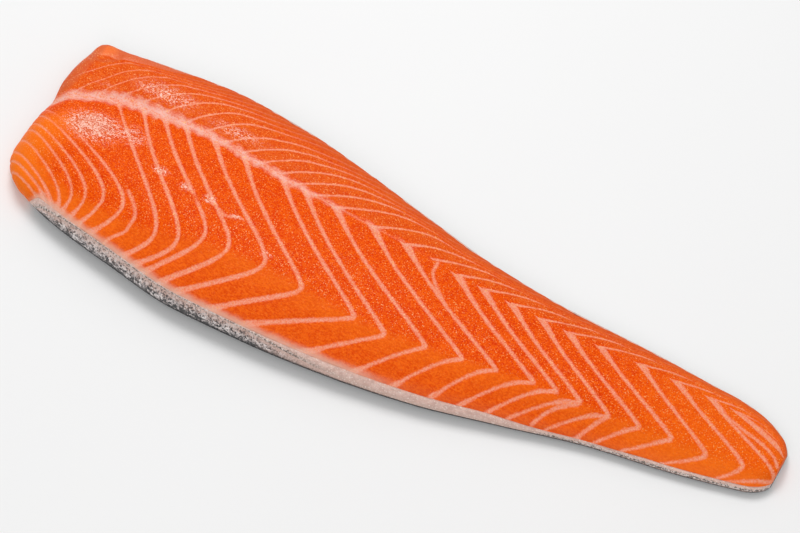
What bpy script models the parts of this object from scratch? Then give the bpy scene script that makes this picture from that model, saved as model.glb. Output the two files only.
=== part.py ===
"""Raw salmon side: a whole trimmed fillet lying on its skin, cut flat at the head and tail ends.

Three nested pieces share one outer envelope: the flesh, the pale fat layer under it, and the skin.
+X runs from the head end to the tail end, -Y is the thick back edge, and the underside is flat at
Z = 0. Every surface is the envelope at some depth below its outside, so the layers never cross.
"""
from types import SimpleNamespace

import bmesh
import bpy
import numpy as np

MM = 0.001

# Driving dimensions, in millimetres unless noted.
LENGTH = 480.0
HALF_LENGTH = LENGTH / 2
SKIN_THICKNESS = 1.2
FAT_BELLY = 1.0
FAT_END = 0.8
GAP = 0.3
RIM_STEP = 0.8
SHOULDER_NEAR = np.radians(68.0)
SHOULDER_FAR = np.radians(58.0)
UNDERSIDE = np.radians(-90.0)

# Laws along the length: values at evenly spread stops from the head end (0) to the tail end (1).
BACK_EDGE = (42.0, 59.0, 67.5, 73.5, 72.0, 67.5, 59.5, 46.5, 33.0, 24.0, 12.0)
BELLY_EDGE = (64.0, 70.0, 73.5, 70.0, 61.5, 51.5, 42.5, 38.5, 38.0, 35.5, 34.0)
BACK_WALL_REACH = (11.0, 11.0, 10.0, 8.0, 6.0, 5.0)
BACK_WALL_HEIGHT = (9.8, 10.3, 9.4, 7.6, 5.0, 3.9)
BELLY_WALL_REACH = (15.0, 16.0, 15.0, 13.0, 10.0, 8.0)
BELLY_WALL_HEIGHT = (9.0, 10.0, 9.5, 8.0, 5.6, 4.5)
LOIN_HEIGHT = (25.0, 27.6, 27.2, 24.4, 20.0, 15.6, 11.0)
SPINE_HEIGHT = (20.0, 23.4, 24.2, 22.6, 18.8, 14.6, 10.5)
RIB_HEIGHT = (20.5, 22.8, 22.4, 19.4, 15.6, 12.0, 9.4)
LOIN_PLACE = (0.28, 0.25, 0.235, 0.235, 0.235, 0.22, 0.22)
SPINE_PLACE = (0.52, 0.70, 0.72, 0.77, 0.80, 0.82, 0.80)
RIB_PLACE = (0.82, 0.89, 0.90, 0.93, 0.93, 0.93, 0.92)

# Laws at uneven stops: (fraction of the length, value).
FAT_BACK = ((0.0, FAT_END), (0.12, 2.0), (0.45, 2.4), (0.65, 2.4), (0.8, 1.2), (1.0, FAT_END))
SKIN_RIM_DEGREES = ((0.0, -35.0), (0.16, 34.0), (0.42, 34.0), (0.6, -20.0), (0.72, -20.0), (0.85, 4.0),
                    (1.0, 4.0))
FAT_RIM_DEGREES = 55.0
SKIN_RIM_BELLY_DEGREES = 12.0
FAT_RIM_BELLY_DEGREES = 34.0

# Rounding in plan: (reach along the length, reach across it) at each corner.
HEAD_BACK_CORNER = (24.0, 21.0)
HEAD_BELLY_CORNER = (7.0, 6.0)
TAIL_BACK_CORNER = (13.0, 9.0)
TAIL_BELLY_CORNER = (42.0, 22.0)
CORNER_TURN = 0.97

# Rounding of the top over each end: (reach along the length, share of the height squared lost).
HEAD_BACK_FALL = (22.0, 0.86)
HEAD_BELLY_FALL = (8.0, 0.45)
TAIL_FALL = (9.0, 0.40)

STATIONS = 41
TOP_COLUMNS = 13
FLOOR_COLUMNS = 7

# One wall's columns, from above its fat rim down to the underside: how far each leans on the fat
# rim's angle, on the skin rim's and on the underside's, and what share of each layer it carries.
LEAN_FAT = np.array((1.0, 1.0, 0.5, 0.0, 0.0, 0.0, 0.0, 0.0))
LEAN_SKIN = np.array((0.0, 0.0, 0.5, 1.0, 1.0, 0.67, 0.33, 0.0))
LEAN_UNDERSIDE = 1.0 - LEAN_FAT - LEAN_SKIN
RIM_STEPS = np.array((1.0, 0.0, 0.5, 1.0, 0.0, 0.0, 0.0, 0.0))
SKIN_SHARE = np.array((0.0, 0.0, 0.0, 0.0, 0.45, 1.0, 1.0, 1.0))
FAT_SHARE = np.array((0.0, 0.4, 1.0, 1.0, 1.0, 1.0, 1.0, 1.0))
FAT_TOP_COLUMN = 1
SKIN_TOP_COLUMN = 4

FLESH_COLOUR = (0.91, 0.16, 0.01, 1.0)
FAT_COLOUR = (0.74, 0.50, 0.38, 1.0)
SKIN_COLOUR = (0.24, 0.25, 0.26, 1.0)


def law(where, stops, values):
    """Monotone cubic through the stops: it never rises above or drops below its neighbours."""
    stops = np.asarray(stops, dtype=float)
    values = np.asarray(values, dtype=float)
    step = np.diff(stops)
    rate = np.diff(values) / step
    slope = np.zeros_like(values)
    before = step[:-1]
    after = step[1:]
    turning = rate[:-1] * rate[1:] <= 0.0
    safe_before = np.where(turning, 1.0, rate[:-1])
    safe_after = np.where(turning, 1.0, rate[1:])
    weight_before = 2.0 * after + before
    weight_after = after + 2.0 * before
    mean = (weight_before + weight_after) / (weight_before / safe_before + weight_after / safe_after)
    slope[1:-1] = np.where(turning, 0.0, mean)
    slope[0] = rate[0]
    slope[-1] = rate[-1]
    return hermite(where, stops, values, slope)


def hermite(where, stops, values, slope):
    """Cubic Hermite curve at the places asked for; stops, values and slopes are one row each."""
    where = np.asarray(where, dtype=float)
    span = np.clip(np.searchsorted(stops, where, side="right") - 1, 0, len(stops) - 2)
    width = stops[span + 1] - stops[span]
    u = (where - stops[span]) / width
    rise = values[span + 1] - values[span]
    ease = u * u * (3.0 - 2.0 * u)
    lead = u * (1.0 - u) ** 2 * width * slope[span]
    tail = u * u * (u - 1.0) * width * slope[span + 1]
    return values[span] + rise * ease + lead + tail


def even_law(where, values):
    """A law whose stops are spread evenly from 0 to 1."""
    return law(where, np.linspace(0.0, 1.0, len(values)), values)


def uneven_law(where, pairs):
    """A law given as (stop, value) pairs."""
    stops, values = zip(*pairs)
    return law(where, stops, values)


def corner(distance, reach):
    """How far a rounded corner draws the edge in, this far from the end: an arc of an ellipse."""
    turn = CORNER_TURN * np.clip(1.0 - distance / reach[0], 0.0, 1.0)
    return reach[1] * (1.0 - np.sqrt(1.0 - turn * turn))


def fall(distance, reach, loss):
    """Share of the height left, this far from an end."""
    turn = np.clip(1.0 - distance / reach, 0.0, 1.0)
    return np.sqrt(1.0 - loss * turn * turn)


def end_fall(station, place):
    """Share of the height left at both ends, place being 0 at the back edge and 1 at the belly."""
    ease = np.clip((place - 0.45) / 0.17, 0.0, 1.0)
    ease = ease * ease * (3.0 - 2.0 * ease)
    reach = HEAD_BACK_FALL[0] + (HEAD_BELLY_FALL[0] - HEAD_BACK_FALL[0]) * ease
    loss = HEAD_BACK_FALL[1] + (HEAD_BELLY_FALL[1] - HEAD_BACK_FALL[1]) * ease
    return fall(station.from_head, reach, loss) * fall(station.from_tail, TAIL_FALL[0], TAIL_FALL[1])


def make_station(x):
    """The sizes of the cross-section at x."""
    t = (x + HALF_LENGTH) / LENGTH
    station = SimpleNamespace(x=x, t=t, from_head=x + HALF_LENGTH, from_tail=HALF_LENGTH - x)
    back_corner = corner(station.from_head, HEAD_BACK_CORNER) + corner(station.from_tail, TAIL_BACK_CORNER)
    belly_corner = corner(station.from_head, HEAD_BELLY_CORNER) + corner(station.from_tail, TAIL_BELLY_CORNER)
    station.back = -even_law(t, BACK_EDGE) + back_corner
    station.belly = even_law(t, BELLY_EDGE) - belly_corner
    station.back_reach = even_law(t, BACK_WALL_REACH)
    station.back_height = even_law(t, BACK_WALL_HEIGHT) * end_fall(station, 0.0)
    station.belly_reach = even_law(t, BELLY_WALL_REACH)
    station.belly_height = even_law(t, BELLY_WALL_HEIGHT) * end_fall(station, 1.0)
    station.fat_back = uneven_law(t, FAT_BACK)
    return station


def wall_columns(station, side):
    """Angles and layer depths down one wall, side being "back" or "belly"."""
    reach = station.back_reach if side == "back" else station.belly_reach
    fat = station.fat_back if side == "back" else FAT_BELLY * min(1.0, station.fat_back / FAT_BELLY)
    skin_rim = SKIN_RIM_BELLY_DEGREES
    fat_rim = FAT_RIM_BELLY_DEGREES
    if side == "back":
        skin_rim = uneven_law(station.t, SKIN_RIM_DEGREES)
        fat_rim = FAT_RIM_DEGREES
    angle = LEAN_FAT * np.radians(fat_rim) + LEAN_SKIN * np.radians(skin_rim) + LEAN_UNDERSIDE * UNDERSIDE
    angle = angle + RIM_STEPS * RIM_STEP / reach
    skin_inside = SKIN_THICKNESS * SKIN_SHARE
    fat_outside = np.where(SKIN_SHARE > 0.0, skin_inside + GAP, 0.0)
    fat_inside = fat_outside + fat * FAT_SHARE
    flesh = np.where(FAT_SHARE > 0.0, fat_inside + GAP, 0.0)
    return SimpleNamespace(angle=angle, outside=np.zeros_like(angle), skin_inside=skin_inside,
                           fat_outside=fat_outside, fat_inside=fat_inside, flesh=flesh)


def wall_points(station, side, angle, depth):
    """Points on a wall at a depth inside the envelope: an ellipse that shrinks with the depth."""
    if side == "back":
        reach = station.back_reach
        height = station.back_height
        y = station.back + depth + (reach - depth) * (1.0 - np.cos(angle))
    else:
        reach = station.belly_reach
        height = station.belly_height
        y = station.belly - depth - (reach - depth) * (1.0 - np.cos(angle))
    z = depth + (height - depth) * (1.0 + np.sin(angle))
    return np.column_stack((y, z))


def floor_points(station, back_depth, belly_depth):
    """Points across the flat underside from the back to the belly wall, its own ends left out."""
    place = np.linspace(0.0, 1.0, FLOOR_COLUMNS)[1:-1]
    start = station.back + station.back_reach
    end = station.belly - station.belly_reach
    y = start + (end - start) * place
    z = back_depth + (belly_depth - back_depth) * place
    return np.column_stack((y, z))


def top_points(station):
    """Points across the bare flesh, from the back shoulder over loin, spine and rib to the belly."""
    width = station.belly - station.back
    start = wall_points(station, "back", SHOULDER_NEAR, 0.0)[0]
    end = wall_points(station, "belly", SHOULDER_FAR, 0.0)[0]
    t = station.t
    places = np.array((0.0, even_law(t, LOIN_PLACE), even_law(t, SPINE_PLACE), even_law(t, RIB_PLACE), 1.0))
    y_stops = start[0] + (end[0] - start[0]) * places
    back_fall = end_fall(station, 0.0)
    belly_fall = end_fall(station, 1.0)
    z_stops = np.array((start[1] / back_fall, even_law(t, LOIN_HEIGHT), even_law(t, SPINE_HEIGHT),
                        even_law(t, RIB_HEIGHT), end[1] / belly_fall))
    step = np.diff(y_stops)
    rate = np.diff(z_stops) / step
    slope = np.zeros(5)
    slope[1:-1] = (rate[:-1] * step[1:] + rate[1:] * step[:-1]) / (step[1:] + step[:-1])
    slope[0] = station.back_height / back_fall / (station.back_reach * np.tan(SHOULDER_NEAR))
    slope[-1] = -station.belly_height / belly_fall / (station.belly_reach * np.tan(SHOULDER_FAR))
    y = np.linspace(start[0], end[0], TOP_COLUMNS)
    z = hermite(y, y_stops, z_stops, slope) * end_fall(station, (y - station.back) / width)
    return np.column_stack((y, z))


def layer_line(station, first_column, depth_name):
    """One layer surface, from its rim on the back wall round the underside to its belly rim."""
    back = wall_columns(station, "back")
    belly = wall_columns(station, "belly")
    back_depth = getattr(back, depth_name)
    belly_depth = getattr(belly, depth_name)
    back_wall = wall_points(station, "back", back.angle, back_depth)[first_column:]
    belly_wall = wall_points(station, "belly", belly.angle, belly_depth)[first_column:]
    floor = floor_points(station, back_depth[-1], belly_depth[-1])
    return np.concatenate((back_wall, floor, belly_wall[::-1]))


def flesh_ring(station):
    return np.concatenate((layer_line(station, 0, "flesh"), top_points(station)[::-1]))


def fat_ring(station):
    outer = layer_line(station, FAT_TOP_COLUMN, "fat_outside")
    inner = layer_line(station, FAT_TOP_COLUMN, "fat_inside")
    return np.concatenate((outer, inner[::-1]))


def skin_ring(station):
    outer = layer_line(station, SKIN_TOP_COLUMN, "outside")
    inner = layer_line(station, SKIN_TOP_COLUMN, "skin_inside")
    return np.concatenate((outer, inner[::-1]))


def make_material(name, colour, roughness):
    material = bpy.data.materials.new(name)
    material.use_nodes = True
    shader = material.node_tree.nodes["Principled BSDF"]
    shader.inputs["Base Color"].default_value = colour
    shader.inputs["Roughness"].default_value = roughness
    shader.inputs["Metallic"].default_value = 0.0
    material.diffuse_color = colour
    return material


def loft(name, ring_of, stations, material, collection):
    """A closed solid through one ring of points at each station, with a flat face at both ends."""
    work = bmesh.new()
    rings = []
    for station in stations:
        ring = ring_of(station)
        rings.append([work.verts.new((station.x * MM, y * MM, z * MM)) for y, z in ring])
    for ring, following in zip(rings[:-1], rings[1:]):
        count = len(ring)
        for index in range(count):
            after = (index + 1) % count
            work.faces.new((ring[index], ring[after], following[after], following[index]))
    work.faces.new(rings[0])
    work.faces.new(rings[-1])
    bmesh.ops.recalc_face_normals(work, faces=work.faces)
    bmesh.ops.triangulate(work, faces=work.faces)
    mesh = bpy.data.meshes.new(name)
    work.to_mesh(mesh)
    work.free()
    mesh.materials.append(material)
    mesh.shade_smooth()
    mesh.set_sharp_from_angle(angle=np.radians(40.0))
    piece = bpy.data.objects.new(name, mesh)
    collection.objects.link(piece)
    return piece


def main():
    for existing in list(bpy.data.objects):
        bpy.data.objects.remove(existing, do_unlink=True)
    collection = bpy.data.collections.new("salmon_side")
    bpy.context.scene.collection.children.link(collection)
    sweep = np.linspace(0.0, np.pi, STATIONS)
    stations = [make_station(x) for x in -HALF_LENGTH * np.cos(sweep)]
    loft("flesh", flesh_ring, stations, make_material("flesh", FLESH_COLOUR, 0.35), collection)
    loft("fat", fat_ring, stations, make_material("fat", FAT_COLOUR, 0.4), collection)
    loft("skin", skin_ring, stations, make_material("skin", SKIN_COLOUR, 0.3), collection)


main()
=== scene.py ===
"""Looks of a raw salmon side: wet flesh with its fat lines, the fat layer and the scaled skin."""

import bpy
import numpy as np
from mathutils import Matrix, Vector


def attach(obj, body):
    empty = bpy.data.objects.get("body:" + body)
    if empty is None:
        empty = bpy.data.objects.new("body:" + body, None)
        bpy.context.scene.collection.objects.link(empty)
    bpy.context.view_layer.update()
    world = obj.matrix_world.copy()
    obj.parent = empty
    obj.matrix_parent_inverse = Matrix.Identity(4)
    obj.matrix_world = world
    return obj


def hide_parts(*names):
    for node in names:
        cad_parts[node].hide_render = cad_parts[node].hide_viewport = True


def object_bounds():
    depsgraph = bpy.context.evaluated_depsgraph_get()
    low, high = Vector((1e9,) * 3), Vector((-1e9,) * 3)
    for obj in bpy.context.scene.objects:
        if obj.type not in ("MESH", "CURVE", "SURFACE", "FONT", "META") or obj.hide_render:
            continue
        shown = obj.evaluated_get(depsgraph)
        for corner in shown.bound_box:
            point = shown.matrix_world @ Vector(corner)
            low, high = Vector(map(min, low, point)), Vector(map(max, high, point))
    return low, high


bl_info = {
    "name": "Raw salmon side",
    "version": (1, 0, 0),
    "blender": (4, 5, 0),
    "location": "3D View > Sidebar > Salmon",
    "description": "Builds the flesh, fat and skin of a raw salmon side around its packed frame",
    "category": "Object",
}

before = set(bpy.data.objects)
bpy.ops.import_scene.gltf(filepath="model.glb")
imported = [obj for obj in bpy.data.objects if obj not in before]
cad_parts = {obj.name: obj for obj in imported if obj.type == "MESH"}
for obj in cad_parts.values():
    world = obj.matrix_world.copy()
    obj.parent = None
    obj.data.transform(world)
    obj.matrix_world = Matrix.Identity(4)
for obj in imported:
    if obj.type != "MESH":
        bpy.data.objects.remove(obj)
CAD_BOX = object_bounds()
MM = 0.001
LENGTH = float(CAD_BOX[1][0] - CAD_BOX[0][0]) / MM
HALF_LENGTH = LENGTH / 2

# The outer envelope, in millimetres: values at evenly spread stops from the head to the tail, places
# across the top as shares of its breadth, and for each corner or fall its reach from the end.
BACK_EDGE = (42.0, 59.0, 67.5, 73.5, 72.0, 67.5, 59.5, 46.5, 33.0, 24.0, 12.0)
BELLY_EDGE = (64.0, 70.0, 73.5, 70.0, 61.5, 51.5, 42.5, 38.5, 38.0, 35.5, 34.0)
BACK_WALL_REACH = (11.0, 11.0, 10.0, 8.0, 6.0, 5.0)
BACK_WALL_HEIGHT = (9.8, 10.3, 9.4, 7.6, 5.0, 3.9)
BELLY_WALL_REACH = (15.0, 16.0, 15.0, 13.0, 10.0, 8.0)
BELLY_WALL_HEIGHT = (9.0, 10.0, 9.5, 8.0, 5.6, 4.5)
LOIN_HEIGHT = (25.0, 27.6, 27.2, 24.4, 20.0, 15.6, 11.0)
SPINE_HEIGHT = (20.0, 23.4, 24.2, 22.6, 18.8, 14.6, 10.5)
RIB_HEIGHT = (20.5, 22.8, 22.4, 19.4, 15.6, 12.0, 9.4)
LOIN_PLACE = (0.28, 0.25, 0.235, 0.235, 0.235, 0.22, 0.22)
SPINE_PLACE = (0.52, 0.70, 0.72, 0.77, 0.80, 0.82, 0.80)
RIB_PLACE = (0.82, 0.89, 0.90, 0.93, 0.93, 0.93, 0.92)
SHOULDER_NEAR = np.radians(68.0)
SHOULDER_FAR = np.radians(58.0)
UNDERSIDE = np.radians(-90.0)
HEAD_BACK_CORNER = (24.0, 21.0)
HEAD_BELLY_CORNER = (7.0, 6.0)
TAIL_BACK_CORNER = (13.0, 9.0)
TAIL_BELLY_CORNER = (42.0, 22.0)
CORNER_TURN = 0.97
HEAD_BACK_FALL = (22.0, 0.86)
HEAD_BELLY_FALL = (8.0, 0.45)
TAIL_FALL = (9.0, 0.40)
# How far from both ends the flesh's relief has faded in.
RELIEF_FADE = 4.0

# Layers, in millimetres, and the angles on the walls, in degrees, where the skin and the fat stop. The
# flesh's hidden wall ends FLESH_BELOW_RIM under the fat's rim, and its bare wall starts RIM_STEP on.
SKIN_THICKNESS = 1.2
SKIN_LIP = 0.15
FAT_BELLY = 1.0
FAT_BACK = ((0.0, 0.8), (0.12, 2.0), (0.45, 2.4), (0.65, 2.4), (0.8, 1.2), (1.0, 0.8))
SKIN_RIM = ((0.0, -75.0), (0.055, -62.0), (0.095, 26.0), (0.16, 46.0), (0.38, 46.0), (0.5, 14.0),
            (0.55, -1.0), (0.63, -6.0), (0.72, -5.0), (0.78, 1.0), (0.82, 5.0), (1.0, 3.0))
FAT_RIM = ((0.0, -60.0), (0.05, -50.0), (0.085, 52.0), (0.2, 57.0), (0.68, 55.0), (0.76, 37.0),
           (0.82, 38.0), (0.87, 50.0), (1.0, 52.0))
SKIN_RIM_BELLY = np.radians(12.0)
FAT_RIM_BELLY = np.radians(34.0)
LAYER_GAP = 0.3
FLESH_BELOW_RIM = np.radians(9.0)
RIM_STEP = np.radians(5.0)
SKIN_STEP = 0.06
SCALE_LENGTH = 3.4
SCALE_WIDTH = 3.0
SCALE_HEIGHT = 0.09

# How many stations a piece has along the fillet, and how far they crowd to its ends.
FLESH_STATIONS = (540, 0.22)
FAT_STATIONS = (420, 0.22)
SKIN_STATIONS = (460, 0.2)
# Columns of the fat and of the skin: bare and hidden on the back wall, on the flat underside, then
# hidden and bare on the belly wall.
FAT_BARE, FAT_HIDDEN, FAT_FLOOR, FAT_HIDDEN_BELLY, FAT_BARE_BELLY = 26, 13, 16, 12, 8
SKIN_BACK, SKIN_FLOOR, SKIN_BELLY = 22, 62, 20
HEAD_RINGS = 6
TAIL_RINGS = 4
# Columns of the flesh's ring, zone by zone from the middle of its underside round the back wall, over
# the top and round the belly wall: how many, then where they start and end as shares of the way from
# the loin line to the back edge, from the spine line to the rib line, and from there to the belly edge.
FLESH_ZONES = {
    "floor_back": (4, (1.0, 1.0), (0.0, 0.0), (0.0, 0.0)),
    "hidden_back": (8, (1.0, 1.0), (0.0, 0.0), (0.0, 0.0)),
    "wall_back": (9, (1.0, 0.86), (0.0, 0.0), (0.0, 0.0)),
    "loin": (30, (0.86, 0.0), (0.0, 0.0), (0.0, 0.0)),
    "fillet": (54, (0.0, 0.0), (0.0, 0.0), (0.0, 0.0)),
    "rib": (17, (0.0, 0.0), (0.0, 1.0), (0.0, 0.0)),
    "edge": (13, (0.0, 0.0), (1.0, 1.0), (0.0, 0.75)),
    "wall_belly": (8, (0.0, 0.0), (1.0, 1.0), (0.75, 1.0)),
    "hidden_belly": (7, (0.0, 0.0), (1.0, 1.0), (1.0, 1.0)),
    "floor_belly": (4, (0.0, 0.0), (1.0, 1.0), (1.0, 1.0)),
}
COVERED_BACK_COLUMNS = FLESH_ZONES["floor_back"][0] + FLESH_ZONES["hidden_back"][0]

# Lines the muscle sheets follow, as places across the fillet (+Y towards the belly) at even stops.
LOIN_LINE = (-34.0, -43.0, -46.0, -37.0, -34.0, -36.0, -31.0, -22.0, -17.0, -11.0, -3.0)
SPINE_LINE = (11.0, 29.0, 31.0, 27.0, 23.4, 22.2, 19.4, 19.0, 22.2, 23.8, 24.0)
RIB_LINE = (50.0, 56.0, 54.5, 48.5, 42.8, 39.0, 33.0, 30.0, 31.0, 31.0, 28.0)

# Each sheet of fat between two muscles of the back: its place along the fillet on the spine line, the
# place along and across where it turns, its place along on the back edge, and how round it turns.
BACK_SHEETS = (
    (-534, -196, -66, -196, 30), (-483, -192, -64, -192, 30), (-424, -190, -62, -190, 30),
    (-372, -188, -61, -188, 30), (-332, -186, -56, -186, 30), (-313, -182, -49, -183, 30),
    (-303, -174, -46, -177, 30), (-282, -164, -42, -170, 28), (-263, -151, -41, -161, 25),
    (-201, -125, -47, -136, 14), (-184, -111, -45, -127, 13), (-170, -99, -35, -119, 13),
    (-155, -83, -35, -108, 11), (-135, -60, -33, -97, 9), (-113, -34, -36, -75, 4), (-85, 0, -36, -54, 2),
    (-69, 20, -37, -14, 1.5), (-48, 43, -32, 16, 1.5), (-23, 64, -28, 39, 1), (-1, 83, -24.5, 60, 1),
    (34, 104, -20.6, 76, 1), (51, 117, -18.7, 91, 1), (69, 131, -17.7, 103, 1),
    (88, 148, -16.6, 125, 1), (105, 165, -14, 151, 1), (124, 183, -11, 167, 1),
    (148, 203, -10, 190, 2), (169, 223, -6, 217, 3), (190, 240, -2, 228, 3), (206, 288, 0, 270, 3),
    (222, 320, 2, 300, 3), (240, 350, 4, 330, 3),
)
# The same on the belly side: where it leaves the spine line and where it bends on the rib line.
BELLY_SHEETS = (
    (-262, -236), (-246, -219), (-231, -204), (-217, -192), (-203, -179), (-190, -165), (-174, -152),
    (-158, -138), (-144, -124), (-130, -106), (-117, -92), (-104, -79), (-91, -64), (-78, -48),
    (-64, -32), (-48, -15), (-23, 6), (-1, 26), (16, 42), (34, 58), (51, 74), (69, 92), (88, 110),
    (105, 127), (124, 146), (148, 168), (169, 189), (190, 209), (206, 226), (222, 242), (240, 262),
)
BELLY_RUN = 62.0
# Short forks that leave a sheet and rejoin another, as points in plan.
FORKS = (
    ((-154, -29), (-146, -35), (-141, -42), (-141, -50), (-147, -58), (-150, -64)),
    ((-113, -9), (-108, -12), (-102, -14), (-96, -16), (-89, -13)),
    ((21, 21), (22, 14), (30, 4), (43, -6)),
    ((131, -19), (125, -23), (119, -29), (116, -34), (114, -39)),
    ((148, -17), (145, -21), (141, -28), (138, -34)),
    ((203, 17), (215, 13.5), (225, 11.5), (236, 7), (239, 4)),
)
# Half the breadth of a fat line, its rise between lines and the depth of the spine line's groove, in
# millimetres, from the head to the tail.
LINE_BREADTH = ((0.0, 0.4), (0.08, 0.55), (0.14, 0.85), (0.22, 1.05), (0.5, 1.05), (1.0, 0.85))
MUSCLE_RISE = ((0.0, 0.5), (0.25, 0.4), (0.5, 0.3), (1.0, 0.22))
SPINE_GROOVE = ((0.0, 1.8), (0.1, 1.5), (0.25, 0.9), (0.45, 0.2), (1.0, 0.1))
# Wet patches, where the flesh is wrinkled and darker and a shine is painted on: the place along and across,
# the reach along and across, and the strength of each.
WET_SHINE_PATCHES = (
    (-199, 1, 18, 11, 1.0), (-176, 6, 14, 9, 0.5), (-177, 44, 26, 8, 0.5), (-126, 40, 26, 6, 0.4),
    (-146, -8, 6, 3, 0.7), (-127, -11, 4, 3, 0.7), (-110, -11, 4, 3, 0.7), (-90, -14, 5, 2, 0.6),
    (-62, -27, 5, 3, 0.4), (-212, 33, 14, 5, 0.25),
)
# Places where the fat lines fade, and swellings and hollows in millimetres, given in the same way.
FADED_PATCHES = ((-213, 0, 17, 11, 0.9), (-190, -2, 12, 9, 0.5), (-120, -15, 7, 4, 0.7))
HOLLOW = (-222, 38, 13, 8, 1.6)
MOUND = (-198, 0, 20, 12, 1.0)
# The knob at the head's far corner: its place along and across, its height and its breadth, and how
# far out its crease lies, how deep it is and how broad. Then the breadth of the spine line's groove.
KNOB = (-231.0, 58.0)
KNOB_HEIGHT = 2.2
KNOB_BREADTH = 7.0
KNOB_CREASE = 11.5
CREASE_DEPTH = 1.3
CREASE_BREADTH = 2.2
GROOVE_BREADTH = 5.0
# Unevenness: its height and the reach of its largest lumps in millimetres, its seed and its layers.
FLESH_LUMPS = (0.35, 26.0, 20.0, 11, 2)
FLESH_GRAIN = (0.14, 4.2, 3.4, 23, 3)
WET_WRINKLES = (0.45, 5.0, 4.0, 57, 3)
FAT_LUMPS = (0.16, 6.0, 3.0, 41, 3)


# Sizes of the flesh's patterns, in millimetres.
GRAIN = 0.95
MOTTLE = 7.0
STREAK = 1.3
STRAND = 1.5
# Size of the streaks of painted shine.
SHINE_FILM = 1.7
WAVE = 2.6
# Size of the painted glints.
GLINT_SPECK = 0.7
LINE_WANDER = 5.0
LINE_ROUGHNESS = 1.1
BAND_ROUGHNESS = 2.4
# Sizes of the fat's and the skin's patterns, in millimetres.
FAT_MOTTLE = 3.0
FAT_GRAIN = 0.9
FAT_GLINT_SPECK = 0.8
FLECK = 1.3
SKIN_PATCH = 12.0
SKIN_GRAIN = 0.9
SKIN_HIGHLIGHT_CLUMP = 4.5
FLASHING_CELL = 1.25
SCALE_CELL = 2.6
SPOT_SPACING = 17.0

# Lamps: the place in metres and the side of the square.
WINDOW_LAMP = ((-0.45, 0.6, 1.4), 0.7)
FRONT_LAMP = ((0.5, -1.1, 1.2), 1.2)
SENSOR_WIDTH = 36.0


def law(where, stops, values):
    """Monotone cubic through the stops, with harmonic-mean slopes, so it never overshoots a stop."""
    stops = np.asarray(stops, dtype=float)
    values = np.asarray(values, dtype=float)
    step = np.diff(stops)
    rate = np.diff(values) / step
    slope = np.zeros_like(values)
    before = step[:-1]
    after = step[1:]
    turning = rate[:-1] * rate[1:] <= 0.0
    safe_before = np.where(turning, 1.0, rate[:-1])
    safe_after = np.where(turning, 1.0, rate[1:])
    weight_before = 2.0 * after + before
    weight_after = after + 2.0 * before
    mean = (weight_before + weight_after) / (weight_before / safe_before + weight_after / safe_after)
    slope[1:-1] = np.where(turning, 0.0, mean)
    slope[0] = rate[0]
    slope[-1] = rate[-1]
    span = np.clip(np.searchsorted(stops, where, side="right") - 1, 0, len(stops) - 2)
    return hermite(where, stops[span], stops[span + 1], values[span], values[span + 1], slope[span],
                   slope[span + 1])


def hermite(where, start, end, low, high, slope_low, slope_high):
    """Cubic between two stops: an ease from low to high plus each end's slope fading out."""
    width = end - start
    u = (where - start) / width
    ease = u * u * (3.0 - 2.0 * u)
    lead = u * (1.0 - u) ** 2 * width * slope_low
    tail = u * u * (u - 1.0) * width * slope_high
    return low + (high - low) * ease + lead + tail


def even_law(where, values):
    """A law whose stops are spread evenly from 0 at the head to 1 at the tail."""
    return law(where, np.linspace(0.0, 1.0, len(values)), values)


def uneven_law(where, pairs):
    """A law given as (stop, value) pairs."""
    stops, values = zip(*pairs)
    return law(where, stops, values)


def ease_between(low, high, where):
    """0 below low, 1 above high and a smooth S between them."""
    u = np.clip((where - low) / (high - low), 0.0, 1.0)
    return u * u * (3.0 - 2.0 * u)


def lattice_noise(u, v, seed):
    """Smooth noise from -1 to 1: random values on a unit lattice, eased between in both directions."""
    table = np.random.default_rng(seed).uniform(-1.0, 1.0, (64, 64))
    base_u = np.floor(u).astype(int)
    base_v = np.floor(v).astype(int)
    part_u = u - base_u
    part_v = v - base_v
    part_u = part_u * part_u * (3.0 - 2.0 * part_u)
    part_v = part_v * part_v * (3.0 - 2.0 * part_v)
    here = table[base_u % 64, base_v % 64]
    right = table[(base_u + 1) % 64, base_v % 64]
    above = table[base_u % 64, (base_v + 1) % 64]
    across = table[(base_u + 1) % 64, (base_v + 1) % 64]
    low = here + (right - here) * part_u
    high = above + (across - above) * part_u
    return low + (high - low) * part_v


def layered_noise(u, v, seed, layers):
    """Several lattice noises added, each twice as fine and half as strong as the one before."""
    total = 0.0
    for index in range(layers):
        size = 2.0 ** index
        total = total + lattice_noise(u * size + 7.3 * index, v * size + 3.1 * index, seed + index) / size
    return total


def uneven(u, v, height, reach_u, reach_v, seed, layers):
    """Layered noise of this height over two places in millimetres."""
    return height * layered_noise(u / reach_u, v / reach_v, seed, layers)


def bell(distance, breadth):
    """1 at no distance and less on both sides: e to the minus square of distance over breadth."""
    return np.exp(-(distance / breadth) ** 2)


def corner(distance, reach):
    """How far a rounded corner draws the edge in, this far from the end: an arc of an ellipse."""
    turn = CORNER_TURN * np.clip(1.0 - distance / reach[0], 0.0, 1.0)
    return reach[1] * (1.0 - np.sqrt(1.0 - turn * turn))


def fall(distance, reach, loss):
    """Share of the height left this far from an end: the square root of what the loss leaves."""
    turn = np.clip(1.0 - distance / reach, 0.0, 1.0)
    return np.sqrt(1.0 - loss * turn * turn)


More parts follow.
